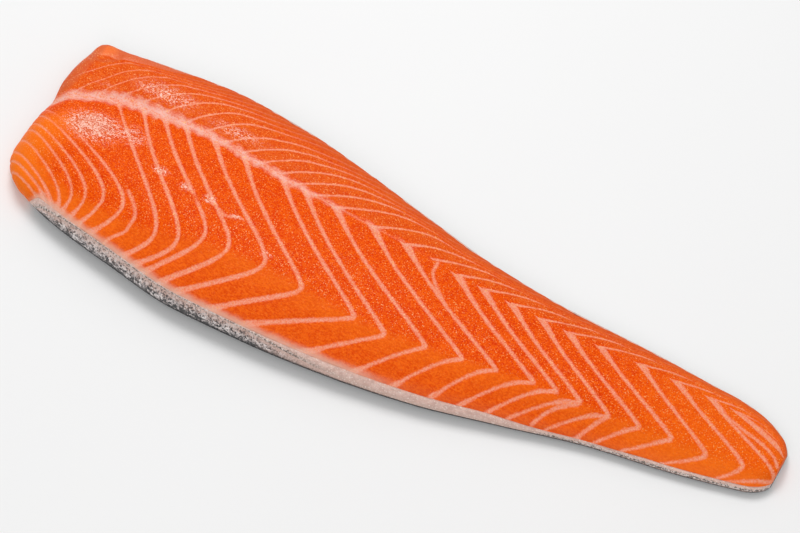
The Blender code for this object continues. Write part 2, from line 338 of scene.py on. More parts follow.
class Stations:
    """The cross-sections' sizes, one row for each place along the fillet."""

    def __init__(self, x):
        self.x = x[:, None]
        self.t = (self.x + HALF_LENGTH) / LENGTH
        self.from_head = self.x + HALF_LENGTH
        self.from_tail = HALF_LENGTH - self.x
        back = corner(self.from_head, HEAD_BACK_CORNER) + corner(self.from_tail, TAIL_BACK_CORNER)
        belly = corner(self.from_head, HEAD_BELLY_CORNER) + corner(self.from_tail, TAIL_BELLY_CORNER)
        self.back = -even_law(self.t, BACK_EDGE) + back
        self.belly = even_law(self.t, BELLY_EDGE) - belly
        self.back_reach = even_law(self.t, BACK_WALL_REACH)
        self.back_height = even_law(self.t, BACK_WALL_HEIGHT) * self.end_fall(0.0)
        self.belly_reach = even_law(self.t, BELLY_WALL_REACH)
        self.belly_height = even_law(self.t, BELLY_WALL_HEIGHT) * self.end_fall(1.0)
        self.fat_back = uneven_law(self.t, FAT_BACK)
        self.fat_belly = np.minimum(FAT_BELLY, self.fat_back)
        self.skin_rim = np.radians(uneven_law(self.t, SKIN_RIM))
        self.fat_rim = np.radians(uneven_law(self.t, FAT_RIM))
        self.start = self.wall("back", SHOULDER_NEAR, 0.0)
        self.end = self.wall("belly", SHOULDER_FAR, 0.0)

    def end_fall(self, place):
        """Share of the height left at both ends, place being 0 at the back edge and 1 at the belly."""
        ease = ease_between(0.45, 0.62, place)
        reach = HEAD_BACK_FALL[0] + (HEAD_BELLY_FALL[0] - HEAD_BACK_FALL[0]) * ease
        loss = HEAD_BACK_FALL[1] + (HEAD_BELLY_FALL[1] - HEAD_BACK_FALL[1]) * ease
        return fall(self.from_head, reach, loss) * fall(self.from_tail, TAIL_FALL[0], TAIL_FALL[1])

    def wall(self, side, angle, depth):
        """Points on a wall at a depth inside the envelope: an ellipse that shrinks with the depth."""
        if side == "back":
            y = self.back + depth + (self.back_reach - depth) * (1.0 - np.cos(angle))
            z = depth + (self.back_height - depth) * (1.0 + np.sin(angle))
        else:
            y = self.belly - depth - (self.belly_reach - depth) * (1.0 - np.cos(angle))
            z = depth + (self.belly_height - depth) * (1.0 + np.sin(angle))
        return y, z

    def floor(self, place, back_depth, belly_depth):
        """Points across the flat underside, place being 0 at the back wall and 1 at the belly wall."""
        start = self.back + self.back_reach
        end = self.belly - self.belly_reach
        y = start + (end - start) * place
        z = back_depth + (belly_depth - back_depth) * place + 0.0 * y
        return y, z

    def guide_lines(self):
        """Places across the top of its shoulders and of the loin, spine and rib lines, kept in order."""
        start = self.start[0]
        width = self.end[0] - start
        loin = np.clip(even_law(self.t, LOIN_LINE), start + 0.08 * width, start + 0.5 * width)
        spine = np.clip(even_law(self.t, SPINE_LINE), loin + 0.15 * width, start + 0.86 * width)
        rib = np.clip(even_law(self.t, RIB_LINE), spine + 0.05 * width, start + 0.95 * width)
        return start, loin, spine, rib, self.end[0]

    def top(self, y):
        """Height of the bare flesh: a cubic over loin, spine and rib that meets both walls' slopes."""
        start, start_z = self.start
        end, end_z = self.end
        width = end - start
        back_fall = self.end_fall(0.0)
        belly_fall = self.end_fall(1.0)
        stops = np.hstack((start, start + width * even_law(self.t, LOIN_PLACE),
                           start + width * even_law(self.t, SPINE_PLACE),
                           start + width * even_law(self.t, RIB_PLACE), end))
        heights = np.hstack((start_z / back_fall, even_law(self.t, LOIN_HEIGHT),
                             even_law(self.t, SPINE_HEIGHT), even_law(self.t, RIB_HEIGHT),
                             end_z / belly_fall))
        step = np.diff(stops, axis=1)
        rate = np.diff(heights, axis=1) / step
        slope = np.zeros_like(stops)
        inner = rate[:, :-1] * step[:, 1:] + rate[:, 1:] * step[:, :-1]
        slope[:, 1:-1] = inner / (step[:, 1:] + step[:, :-1])
        slope[:, :1] = self.back_height / back_fall / (self.back_reach * np.tan(SHOULDER_NEAR))
        slope[:, -1:] = -self.belly_height / belly_fall / (self.belly_reach * np.tan(SHOULDER_FAR))
        span = (y[:, :, None] >= stops[:, None, 1:-1]).sum(axis=2)
        after = span + 1
        pick = np.take_along_axis
        z = hermite(y, pick(stops, span, 1), pick(stops, after, 1), pick(heights, span, 1),
                    pick(heights, after, 1), pick(slope, span, 1), pick(slope, after, 1))
        place = (y - self.back) / (self.belly - self.back)
        return z * self.end_fall(place)


def along_places(count, crowding):
    """Places along the fillet, even in the middle and crowded at both ends by a share of a cosine."""
    u = np.linspace(0.0, 1.0, count)
    even = -1.0 + 2.0 * u
    bunched = -np.cos(np.pi * u)
    return HALF_LENGTH * (even * (1.0 - crowding) + bunched * crowding)


def surface_normals(points):
    """Unit normals of a grid of points: its tangent along crossed with its tangent across."""
    along = np.gradient(points, axis=0)
    across = np.gradient(points, axis=1)
    normal = np.cross(along, across)
    return normal / np.maximum(np.linalg.norm(normal, axis=2, keepdims=True), 1e-9)


def grid_faces(rows, columns, closed):
    """Corner numbers of the squares of a grid, whose last column joins the first if it is closed."""
    row = np.arange(rows - 1)[:, None] * columns
    column = np.arange(columns if closed else columns - 1)[None, :]
    after = (column + 1) % columns
    corners = np.stack((row + column, row + columns + column, row + columns + after, row + after), axis=-1)
    return corners.reshape(-1, 4)


def make_piece(name, vertices, faces, attributes, material, node):
    """Puts points in millimetres and faces into a mesh object that stands for one CAD node."""
    mesh = bpy.data.meshes.new(name)
    mesh.vertices.add(len(vertices))
    mesh.vertices.foreach_set("co", (vertices * MM).astype(np.float32).ravel())
    mesh.loops.add(faces.size)
    mesh.loops.foreach_set("vertex_index", faces.astype(np.int32).ravel())
    mesh.polygons.add(len(faces))
    mesh.polygons.foreach_set("loop_start", np.arange(0, faces.size, 4, dtype=np.int32))
    mesh.update(calc_edges=True)
    mesh.validate()
    for label, values in attributes.items():
        layer = mesh.attributes.new(label, "FLOAT", "POINT")
        layer.data.foreach_set("value", values.astype(np.float32).ravel())
    mesh.shade_smooth()
    mesh.set_sharp_from_angle(angle=np.radians(60.0))
    mesh.materials.append(material)
    piece = bpy.data.objects.new(name, mesh)
    bpy.context.scene.collection.objects.link(piece)
    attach(piece, "root")
    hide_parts(node)
    return piece


# ---------------------------------------------------------------- shader expressions


class Wire:
    """A value on its way between shader nodes: sums, differences and products add Math nodes."""

    def __init__(self, bench, socket):
        self.bench = bench
        self.socket = socket

    def __add__(self, other):
        return self.bench.maths("ADD", self, other)

    __radd__ = __add__

    def __sub__(self, other):
        return self.bench.maths("SUBTRACT", self, other)

    def __rsub__(self, other):
        return self.bench.maths("SUBTRACT", other, self)

    def __mul__(self, other):
        return self.bench.maths("MULTIPLY", self, other)

    __rmul__ = __mul__


class Bench:
    """One material's node tree, with short words for the nodes that the food's materials need."""

    def __init__(self, name):
        self.material = bpy.data.materials.new(name)
        self.material.use_nodes = True
        self.tree = self.material.node_tree
        self.tree.nodes.clear()

    def node(self, kind, settings, values):
        """Adds a node: its settings first, then a value or a wire for each named or numbered socket."""
        made = self.tree.nodes.new(kind)
        for label, setting in settings.items():
            setattr(made, label, setting)
        for label, value in values.items():
            if isinstance(value, Wire):
                self.tree.links.new(value.socket, made.inputs[label])
            else:
                made.inputs[label].default_value = value
        return made

    def maths(self, operation, *values):
        """One Math node on wires or numbers."""
        made = self.node("ShaderNodeMath", {"operation": operation}, dict(enumerate(values)))
        return Wire(self, made.outputs[0])

    def attribute(self, label):
        """A number that the piece's mesh carries at each point."""
        made = self.node("ShaderNodeAttribute", {"attribute_name": label}, {})
        return Wire(self, made.outputs["Fac"])

    def place(self, stretch=(1.0, 1.0, 1.0), turn=0.0):
        """Object coordinates, turned about Z and then stretched."""
        source = self.node("ShaderNodeTexCoord", {}, {})
        values = {"Vector": Wire(self, source.outputs["Object"]), "Rotation": (0.0, 0.0, turn),
                  "Scale": stretch}
        made = self.node("ShaderNodeMapping", {}, values)
        return Wire(self, made.outputs[0])

    def noise(self, place, size_mm, detail=2.0, roughness=0.5, distortion=0.0):
        """Noise from 0 to 1 whose lumps measure about size_mm."""
        values = {"Vector": place, "Scale": 1.0 / (size_mm * MM), "Detail": detail,
                  "Roughness": roughness, "Distortion": distortion}
        made = self.node("ShaderNodeTexNoise", {"noise_dimensions": "3D"}, values)
        return Wire(self, made.outputs["Fac"])

    def wander(self, reach, *noise):
        """The same noise about 0, swinging half the reach each way."""
        return (self.noise(*noise) - 0.5) * reach

    def cells(self, place, size_mm, feature="F1"):
        """Distance to the nearest of points scattered about size_mm apart, in cell sizes."""
        values = {"Vector": place, "Scale": 1.0 / (size_mm * MM)}
        made = self.node("ShaderNodeTexVoronoi", {"feature": feature}, values)
        return Wire(self, made.outputs["Distance"])

    def cell_tone(self, place, size_mm):
        """A random number for each cell round points scattered about size_mm apart."""
        values = {"Vector": place, "Scale": 1.0 / (size_mm * MM)}
        made = self.node("ShaderNodeTexVoronoi", {"feature": "F1"}, values)
        parts = self.node("ShaderNodeSeparateColor", {}, {"Color": Wire(self, made.outputs["Color"])})
        return Wire(self, parts.outputs["Red"])

    def ease(self, value, low, high, start=0.0, end=1.0):
        """A smooth S from start, where value is low, to end, where it is high."""
        values = {"Value": value, "From Min": low, "From Max": high, "To Min": start, "To Max": end}
        made = self.node("ShaderNodeMapRange", {"interpolation_type": "SMOOTHSTEP"}, values)
        return Wire(self, made.outputs["Result"])

    def line(self, phase, gap):
        """Distance in millimetres to the nearest whole value of the phase, gap apart."""
        part = self.maths("FRACT", phase + 0.5)
        return self.maths("ABSOLUTE", part - 0.5) * gap

    def mix(self, share, first, second):
        """Colour first where share is 0, and colour second where it is 1."""
        made = self.node("ShaderNodeMix", {"data_type": "RGBA"}, {})
        self.fill(made.inputs[0], share)
        self.fill(made.inputs[6], first)
        self.fill(made.inputs[7], second)
        return Wire(self, made.outputs[2])

    def fill(self, socket, value):
        """Links a wire to a socket, or sets the socket to a number or to an opaque settings colour."""
        if isinstance(value, Wire):
            self.tree.links.new(value.socket, socket)
        elif isinstance(value, float):
            socket.default_value = value
        else:
            socket.default_value = (*value, 1.0)

    def bump(self, height, strength, distance_mm, below=None):
        """A normal tilted by a height whose whole range stands for distance_mm."""
        values = {"Height": height, "Strength": strength, "Distance": distance_mm * MM}
        if below is not None:
            values["Normal"] = below
        made = self.node("ShaderNodeBump", {}, values)
        return Wire(self, made.outputs["Normal"])

    def surface(self, values):
        """The food's Principled shader, linked to the material's output."""
        shader = self.node("ShaderNodeBsdfPrincipled", {}, values)
        output = self.node("ShaderNodeOutputMaterial", {}, {})
        self.tree.links.new(shader.outputs[0], output.inputs[0])
        return self.material


# ---------------------------------------------------------------- flesh


def sheet_count(x, places):
    """Whole at each sheet and even between them: how many gaps between sheets lie headward of x, each
    counted by the share of it that x has passed."""
    total = np.zeros(np.broadcast(x, places[0]).shape)
    for before, after in zip(places[:-1], places[1:]):
        total = total + np.clip((x - before) / np.maximum(after - before, 0.5), 0.0, 1.0)
    return total


def turned_run(distance, full, radius):
    """0 to 1 along a hyperbola: flat at its turn, whose radius is given, then straight out to full."""
    return (np.hypot(distance, radius) - radius) / (np.hypot(full, radius) - radius)


def share_along(x):
    """0 at the head and 1 at the tail, held at those beyond the fillet's ends."""
    return (np.clip(x, -HALF_LENGTH, HALF_LENGTH) + HALF_LENGTH) / LENGTH


def back_sheet_places(y):
    """Where each back-side sheet crosses each place y: a hyperbola from its turn in to the spine line,
    slightly bowed, and another from its turn out to the back edge, which towards the tail is raised to
    a power below one, so that it leaves the turn along the fillet and then steepens."""
    places = []
    for spine, turn, turn_y, edge, radius in BACK_SHEETS:
        spine_y = even_law(share_along(spine), SPINE_LINE)
        edge_y = -even_law(share_along(edge), BACK_EDGE)
        inward = turned_run(np.maximum(y - turn_y, 0.0), spine_y - turn_y, radius)
        outward = turned_run(np.maximum(turn_y - y, 0.0), max(turn_y - edge_y - 4.0, 4.0), radius)
        swept = ease_between(10.0, 90.0, turn) * ease_between(180.0, 150.0, turn)
        outward = outward ** (1.0 - 0.35 * swept)
        bow = 0.08 * ease_between(-140.0, -110.0, turn) * np.sin(np.pi * np.clip(inward, 0.0, 1.0))
        places.append(turn + (spine - turn) * (inward + bow) + (edge - turn) * outward)
    return places


def belly_sheet_places(q_rib, q_edge):
    """Where each belly-side sheet crosses each column: straight to the rib line, then in a soft bend
    along the edge, the bend being half of a hyperbola's sum with its own axis."""
    beyond = q_rib + q_edge - 1.0
    bend = 0.5 * (np.hypot(beyond, 0.22) + beyond)
    return [spine + (rib - spine) * q_rib + BELLY_RUN * bend for spine, rib in BELLY_SHEETS]


def phase_gap(phase, points):
    """Distance between neighbouring sheets: one over the length of the phase's gradient."""
    along = np.gradient(points, axis=0)
    across = np.gradient(points, axis=1)
    phase_along = np.gradient(phase, axis=0)
    phase_across = np.gradient(phase, axis=1)
    aa = (along * along).sum(axis=2)
    cc = (across * across).sum(axis=2)
    ac = (along * across).sum(axis=2)
    area = np.maximum(aa * cc - ac * ac, 1e-9)
    square = cc * phase_along ** 2 - 2.0 * ac * phase_along * phase_across + aa * phase_across ** 2
    return 1.0 / np.sqrt(np.maximum(square / area, 1e-6))


def smooth_path(path, count):
    """Points on a smooth curve through a path's own points: a law for each coordinate over the number
    of the point."""
    place = np.linspace(0.0, len(path) - 1.0, count)
    stops = np.arange(len(path))
    return np.stack([law(place, stops, values) for values in zip(*path)], axis=1)


def distance_to_path(x, y, path):
    """Shortest distance in plan from every point to a smooth path, taken as 20 short runs."""
    nearest = np.full(x.shape, 1e3)
    points = smooth_path(path, 21)
    for start, end in zip(points[:-1], points[1:]):
        run = (end[0] - start[0], end[1] - start[1])
        length = run[0] ** 2 + run[1] ** 2
        share = np.clip(((x - start[0]) * run[0] + (y - start[1]) * run[1]) / length, 0.0, 1.0)
        gap = np.hypot(x - start[0] - run[0] * share, y - start[1] - run[1] * share)
        nearest = np.minimum(nearest, gap)
    return nearest


def patch_share(points, patches):
    """The strongest of several patches, each a bell curve of its own reach along and across."""
    share = np.zeros(points.shape[:2])
    for along, across, reach, breadth, strength in patches:
        spread = ((points[:, :, 0] - along) / reach) ** 2 + ((points[:, :, 1] - across) / breadth) ** 2
        share = np.maximum(share, strength * np.exp(-spread))
    return share


def zone_parts(zone):
    """Places of a zone's columns in it, evenly from 0 up to but not including 1."""
    count = FLESH_ZONES[zone][0]
    return np.arange(count)[None, :] / count


def column_shares(which):
    """One of the three shares that the zones' table gives, run evenly through each zone's columns."""
    parts = []
    for zone, row in FLESH_ZONES.items():
        low, high = row[which]
        parts.append(low + (high - low) * zone_parts(zone))
    return np.hstack(parts)


def flesh_grid(stations):
    """Points of the flesh's ring at every station: half the floor, up the hidden wall at the depth of
    the fat and skin, which shrinks by about half at the rim, out to the bare wall, over the shoulders
    and guide lines, and down the belly side in the same way."""
    skin_gap = SKIN_THICKNESS + 2.0 * LAYER_GAP
    back_depth = stations.fat_back + skin_gap
    belly_depth = stations.fat_belly + skin_gap
    rim = stations.fat_rim - FLESH_BELOW_RIM
    rim_belly = FAT_RIM_BELLY - FLESH_BELOW_RIM

    def between(low, high, zone):
        return low + (high - low) * zone_parts(zone)

    rows = [stations.floor(between(0.5, 0.0, "floor_back"), back_depth, belly_depth)]
    angle = between(UNDERSIDE, rim, "hidden_back")
    share = 1.0 - 0.55 * ease_between(rim - 0.5, rim, angle)
    rows.append(stations.wall("back", angle, back_depth * share))
    rows.append(stations.wall("back", between(rim + RIM_STEP, SHOULDER_NEAR, "wall_back"), 0.0))
    guides = stations.guide_lines()
    for low, high, zone in zip(guides[:-1], guides[1:], ("loin", "fillet", "rib", "edge")):
        y = between(low, high, zone)
        rows.append((y, stations.top(y)))
    angle = between(SHOULDER_FAR, rim_belly + RIM_STEP, "wall_belly") + 0.0 * stations.x
    rows.append(stations.wall("belly", angle, 0.0))
    angle = between(rim_belly, UNDERSIDE, "hidden_belly")
    share = 1.0 - 0.55 * ease_between(0.0, rim_belly, angle)
    rows.append(stations.wall("belly", angle, belly_depth * share))
    rows.append(stations.floor(between(1.0, 0.5, "floor_belly"), back_depth, belly_depth))
    y = np.hstack([row[0] for row in rows])
    z = np.hstack([row[1] for row in rows])
    return np.stack((stations.x + 0.0 * y, y, z), axis=2)


def sheet_half_width(x, spine_gap, turn_gap, q_rib, q_edge, far_gap):
    """Half the breadth of a fat line: thin by the head, the belly edge and the ribs, broad in the loin
    and swelling where it meets the spine line and where it turns."""
    body = uneven_law(share_along(x), LINE_BREADTH)
    grown = ease_between(-90.0, 0.0, x)
    at_spine = bell(spine_gap, 7.0)
    at_turn = bell(turn_gap, 4.0)
    near = body * (1.0 + at_spine * (0.7 + 0.5 * grown) + 0.4 * at_turn * grown)
    outside = ease_between(0.0, -12.0, turn_gap)
    near = near * (1.0 + outside * (0.35 - 0.55 * ease_between(-60.0, 60.0, x)))
    far = 0.55 * body * (1.0 - 0.4 * q_edge) * (1.0 + 0.9 * bell(q_rib, 0.25) * grown)
    return near, np.minimum(far, 0.14 * far_gap)


def flesh_relief(points, line, gap, spine, from_knob, wet):
    """How far the flesh swells or sinks, in millimetres: muscles rise between fat lines, the spine line
    is a groove that fades towards the tail, the far head corner swells into a knob behind a crease and
    a shallow hollow, and the cut surface is uneven all over, most of all where it is wet."""
    x = points[:, :, 0]
    y = points[:, :, 1]
    t = share_along(x)
    share = np.clip(line / np.maximum(gap * 0.5, 0.5), 0.0, 1.0)
    swell = ease_between(0.0, 0.55, share) * uneven_law(t, MUSCLE_RISE) - 0.3
    groove = bell(spine, GROOVE_BREADTH) * uneven_law(t, SPINE_GROOVE)
    crease = CREASE_DEPTH * bell(from_knob - KNOB_CREASE, CREASE_BREADTH) * ease_between(64.0, 57.0, y)
    knob = KNOB_HEIGHT * bell(from_knob, KNOB_BREADTH) - crease
    mounds = patch_share(points, (MOUND,)) - patch_share(points, (HOLLOW,))
    lumps = uneven(x, y, *FLESH_LUMPS) + uneven(x, y, *FLESH_GRAIN) + wet * uneven(x, y, *WET_WRINKLES)
    return swell - groove + knob + mounds + lumps


def cap_rings(ring, steps):
    """Rings that fill a flat end: each point moves evenly towards the nearest place on a line along the
    middle half of the end, and stops a little short of it."""
    y = ring[:, 1]
    z = ring[:, 2]
    low = y.min() + 0.25 * (y.max() - y.min())
    high = y.max() - 0.25 * (y.max() - y.min())
    target_y = np.clip(y, low, high)
    middle = 0.5 * (z.min() + z.max())
    rings = []
    for share in np.linspace(0.0, 0.96, steps + 1)[1:]:
        shrunk = ring.copy()
        shrunk[:, 1] = y + (target_y - y) * share
        shrunk[:, 2] = z + (middle - z) * share
        rings.append(shrunk)
    return np.stack(rings)


def close_ring_faces(first, columns, at_head):
    """Squares that close a ring shrunk nearly to a line: each takes two neighbouring corners from one
    side of the ring and the two opposite, counted back from its end; first is its first corner."""
    step = np.arange(columns // 2 - 1)
    corners = np.stack((step, step + 1, columns - 2 - step, columns - 1 - step), axis=-1) + first
    return corners if at_head else corners[:, ::-1]


def build_flesh(settings):
    """Lays the flesh's ring at every station, counts the sheets of fat headward of each point, swells
    the open surface along its normals by the relief, which fades out over the last millimetres at both
    ends, and closes the ends with shrinking rings. What the material needs goes into attributes."""
    stations = Stations(along_places(*FLESH_STATIONS))
    points = flesh_grid(stations)
    to_back, to_rib, to_edge = [column_shares(which) for which in (1, 2, 3)]
    x = stations.x
    y = points[:, :, 1]
    everywhere = np.zeros_like(y)
    loin_line, spine_line = stations.guide_lines()[1:3]
    spine = y - spine_line
    turn = y - loin_line
    near_phase = sheet_count(x, back_sheet_places(y))
    far_phase = sheet_count(x, belly_sheet_places(to_rib, to_edge))
    near_gap = phase_gap(near_phase, points)
    far_gap = phase_gap(far_phase, points)
    near_half, far_half = sheet_half_width(x, spine, turn, to_rib, to_edge, far_gap)
    near_line = np.abs(near_phase - np.round(near_phase)) * near_gap
    far_line = np.abs(far_phase - np.round(far_phase)) * far_gap
    fork = np.full(y.shape, 1e3)
    for path in FORKS:
        fork = np.minimum(fork, distance_to_path(points[:, :, 0], y, path))
    wet = patch_share(points, WET_SHINE_PATCHES)
    knob = np.hypot(points[:, :, 0] - KNOB[0], (y - KNOB[1]) * 1.1)
    fields = {"back_phase": near_phase, "back_gap": near_gap, "back_half": near_half,
              "belly_phase": far_phase, "belly_gap": far_gap, "belly_half": far_half,
              "spine_mm": spine, "turn_mm": turn, "fork_mm": np.minimum(fork, 20.0),
              "knob_mm": knob, "along_mm": x + everywhere, "edge": to_edge + everywhere,
              "wet": wet, "faded": patch_share(points, FADED_PATCHES)}
    is_far = spine > 0.0
    line = np.minimum(np.where(is_far, far_line, near_line), fork)
    relief = flesh_relief(points, line, np.where(is_far, far_gap, near_gap), spine, knob, wet)
    is_open = (to_back < 1.0) & (to_edge < 1.0)
    fade = np.clip(np.minimum(stations.from_head, stations.from_tail) / RELIEF_FADE, 0.0, 1.0)
    points = points + surface_normals(points) * (relief * is_open * fade)[:, :, None]
    girth = np.cumsum(np.linalg.norm(np.diff(points, axis=1, prepend=points[:, :1]), axis=2), axis=1)
    fields["rim_mm"] = girth - girth[:, COVERED_BACK_COLUMNS:COVERED_BACK_COLUMNS + 1]
    head = cap_rings(points[0], HEAD_RINGS)[::-1]
    tail = cap_rings(points[-1], TAIL_RINGS)
    rings = np.concatenate((head, points, tail))
    rows, columns = rings.shape[:2]
    source = np.clip(np.arange(rows) - len(head), 0, len(points) - 1)
    attributes = {label: values[source] for label, values in fields.items()}
    faces = np.concatenate((grid_faces(rows, columns, True), close_ring_faces(0, columns, True),
                            close_ring_faces((rows - 1) * columns, columns, False)))
    vertices = rings.reshape(-1, 3)
    return make_piece("salmon_flesh", vertices, faces, attributes, flesh_material(settings), "flesh")


def flesh_material(settings):
    """Wet orange muscle with blurred pale fat lines, a broad pale spine line and a fine wet grain, with
    painted glints, shine, light and shade.
    """
    bench = Bench("wet salmon flesh")
    place = bench.place()
    spine = bench.attribute("spine_mm")
    along = bench.attribute("along_mm")
    turn = bench.attribute("turn_mm")
    wet = bench.attribute("wet")
    edge = bench.attribute("edge")
    knob = bench.attribute("knob_mm")
    above_rim = bench.attribute("rim_mm")
    behind_lobe = bench.ease(along, -215.0, -195.0)
    soft = bench.wander(1.0, place, LINE_WANDER, 3.0)
    rough_edge = bench.wander(1.3, place, LINE_ROUGHNESS, 2.0, 0.6)
    wobble = soft + rough_edge
    grain = bench.noise(place, GRAIN, 2.0, 0.6)
    mottle = bench.noise(place, MOTTLE, 3.0, 0.6)
    streak = bench.noise(bench.place((0.6, 1.3, 1.0), 0.6), STREAK, 3.0, 0.6)
    strand = bench.noise(bench.place((0.2, 1.0, 1.0), 0.1), STRAND, 3.0, 0.6)

    # The fat lines: broader at the foot of the near wall, faint along the belly edge.
    near = bench.line(bench.attribute("back_phase"), bench.attribute("back_gap")) + wobble
    far = bench.line(bench.attribute("belly_phase"), bench.attribute("belly_gap")) + wobble * 0.6
    foot = bench.ease(above_rim, 8.0, 0.5) * bench.ease(along, 120.0, 60.0) * behind_lobe * 0.8
    near_mask = 1.0 - bench.ease(near - bench.attribute("back_half") - foot, -0.8, 0.75)
    far_mask = 1.0 - bench.ease(far - bench.attribute("belly_half"), -0.55, 0.5)
    far_mask = far_mask * bench.ease(bench.attribute("belly_gap"), 1.0, 4.5, 0.1, 1.0)
    fork_mask = 1.0 - bench.ease(bench.attribute("fork_mm") + wobble, 0.1, 1.7)
    is_far = bench.maths("GREATER_THAN", spine, 0.0)
    sheet = bench.maths("MAXIMUM", near_mask * (1.0 - is_far) + far_mask * is_far, fork_mask)
    sheet = sheet * (1.0 - bench.ease(bench.attribute("faded"), 0.1, 0.8))
    sheet = sheet * (1.0 - 0.45 * bench.ease(edge, 0.0, 0.6))

    # The spine line: a ragged band, broad at the head and gone beyond the middle, that runs a little
    # way out into each fat line it meets.
    ragged = bench.wander(2.0, place, BAND_ROUGHNESS, 4.0, 0.65)
    breadth = bench.ease(along, -190.0, -115.0, 3.9, 2.0) + bench.ease(along, -115.0, -10.0, 0.0, -2.1)
    from_band = bench.maths("ABSOLUTE", spine + soft * 2.0) - breadth
    from_band = from_band + (ragged + (strand - 0.5) * 6.0) * bench.ease(along, 20.0, -60.0) + 0.5
    from_band = from_band - bench.ease(bench.maths("MINIMUM", near, far), 3.5, 0.0) * 1.7
    band = (1.0 - bench.ease(from_band, -2.6, 2.2)) * bench.ease(along, 25.0, -30.0)

    # The muscle: grainy in the fillet, streaky on the flank with painted light below the loin and painted
    # shade at its foot, muted beyond the spine line.
    in_fillet = bench.ease(turn + soft * 4.0, -4.0, 4.0)
    rough_zone = in_fillet * bench.ease(edge, 0.6, 0.0)
    tone = bench.ease(grain * 0.75 + mottle * 0.25, 0.36, 0.64)
    smooth_tone = bench.ease(streak * 0.5 + grain * 0.35 + mottle * 0.15, 0.38, 0.62)
    tone = tone * rough_zone + smooth_tone * (1.0 - rough_zone)
    muscle = bench.mix(tone, settings.deep, settings.bright)
    flank = bench.mix(smooth_tone, settings.flank_deep, settings.flank_bright)
    # Painted light: the flank is lighter and more golden just below the loin line, and towards the head.
    glow = bench.ease(turn + soft * 5.0, -17.0, -1.0) * bench.ease(along, -130.0, -70.0) * 0.24
    glow = bench.maths("MAXIMUM", glow, bench.ease(along, -100.0, -190.0) * 0.3)
    flank = bench.mix(glow, flank, settings.flank_painted_light)
    # Painted shade: the flank darkens towards the fat at the foot of the near wall, in the cut face's
    # colour.
    flank = bench.mix(bench.ease(above_rim + soft * 2.0, 8.0, 1.0) * 0.3, flank, settings.cut)
    belly = bench.mix(tone, settings.belly_deep, settings.belly_bright)
    muscle = bench.mix(1.0 - in_fillet, muscle, flank)
    muscle = bench.mix(bench.ease(spine, 0.0, 6.0), muscle, belly)
    lobe = bench.ease(along, -195.0, -225.0) * bench.ease(spine, -10.0, -30.0)
    muscle = bench.mix(lobe * 0.7, muscle, settings.lobe)
    muscle = bench.mix(bench.ease(along, 130.0, 200.0) * 0.3, muscle, settings.lobe)

    # Lines, painted shade along the belly edge, the knob with painted shade in its crease, and the cut head
    # end over the muscle, then the spine line and the fringe.
    pale = bench.mix(bench.ease(grain, 0.35, 0.65), settings.sheet, settings.sheet_pale)
    colour = bench.mix(sheet * 0.9, muscle, pale)
    # Painted shade: the flesh darkens towards the far edge.
    colour = bench.mix(bench.ease(edge, 0.35, 0.9) * 0.55, colour, settings.belly_edge_shade)
    colour = bench.mix(bench.ease(knob + soft * 2.0, 10.0, 5.0) * 0.75, colour, settings.knob)
    # Painted shade in the crease round the knob, in the cut face's colour.
    crease = bench.ease(bench.maths("ABSOLUTE", knob + soft * 2.0 - KNOB_CREASE), 2.0, 0.3)
    colour = bench.mix(crease * 0.5, colour, settings.cut)
    cut = bench.ease(along + soft * 3.0, -228.5, -232.5) * bench.ease(spine, 2.0, 9.0)
    colour = bench.mix(cut * (0.55 + 0.4 * streak), colour, settings.cut)
    band_tone = bench.ease(strand * 0.6 + grain * 0.4, 0.36, 0.6)
    colour = bench.mix(band * 0.9, colour, bench.mix(band_tone, pale, settings.spine))
    fringe = bench.ease(above_rim + soft * 2.5 + rough_edge, 4.8, 0.2) * behind_lobe
    fringe = fringe * bench.ease(spine, 0.0, -3.0) * bench.ease(along, 50.0, 5.0)
    colour = bench.mix(fringe * 0.8, colour, settings.fringe)

    # Painted glints in the grain, painted shine on the wettest patches, which are darker under it, and the
    # relief of the grain.
    # Painted glints: pale specks where the wet grain would catch the light.
    glint_dots = bench.ease(bench.noise(place, GLINT_SPECK, 0.0), 0.67, 0.75)
    glint_dots = glint_dots * (rough_zone * 0.45 + sheet * 0.3 + 0.08)
    colour = bench.mix(glint_dots, colour, settings.painted_glint)
    # Painted shine: pale streaks of reflected light over the wettest patches.
    shine_film = bench.noise(bench.place((0.75, 1.25, 1.0), 0.5), SHINE_FILM, 3.0, 0.6, 1.8)
    shine = bench.ease(shine_film + wet * 0.11, 0.55, 0.63) * bench.ease(wet, 0.1, 0.5)
    # The wet patches are darker under the painted shine, in the cut face's colour.
    colour = bench.mix(bench.ease(wet, 0.2, 0.9) * 0.55, colour, settings.cut)
    colour = bench.mix(shine * 0.85, colour, settings.wet)
    rough = bench.ease(grain, 0.3, 0.7, 0.5, 0.36) - shine * 0.2
    normal = bench.bump(bench.noise(place, WAVE, 3.0, 0.6), 0.5, 0.3)
    height = grain * (0.4 + 0.6 * rough_zone) + streak * 0.35 * (1.0 - rough_zone)
    normal = bench.bump(height, 0.6, 0.25, normal)
    return bench.surface({"Base Color": colour, "Roughness": rough, "Normal": normal, "IOR": 1.4,
                          "Specular IOR Level": 0.04, "Subsurface Weight": 0.06,
                          "Subsurface Radius": (1.0, 0.25, 0.1), "Subsurface Scale": 0.002,
                          "Coat Weight": glint_dots * 0.35 + shine * 0.5 + band * 0.1,
                          "Coat Roughness": 0.15})


# ---------------------------------------------------------------- fat and skin


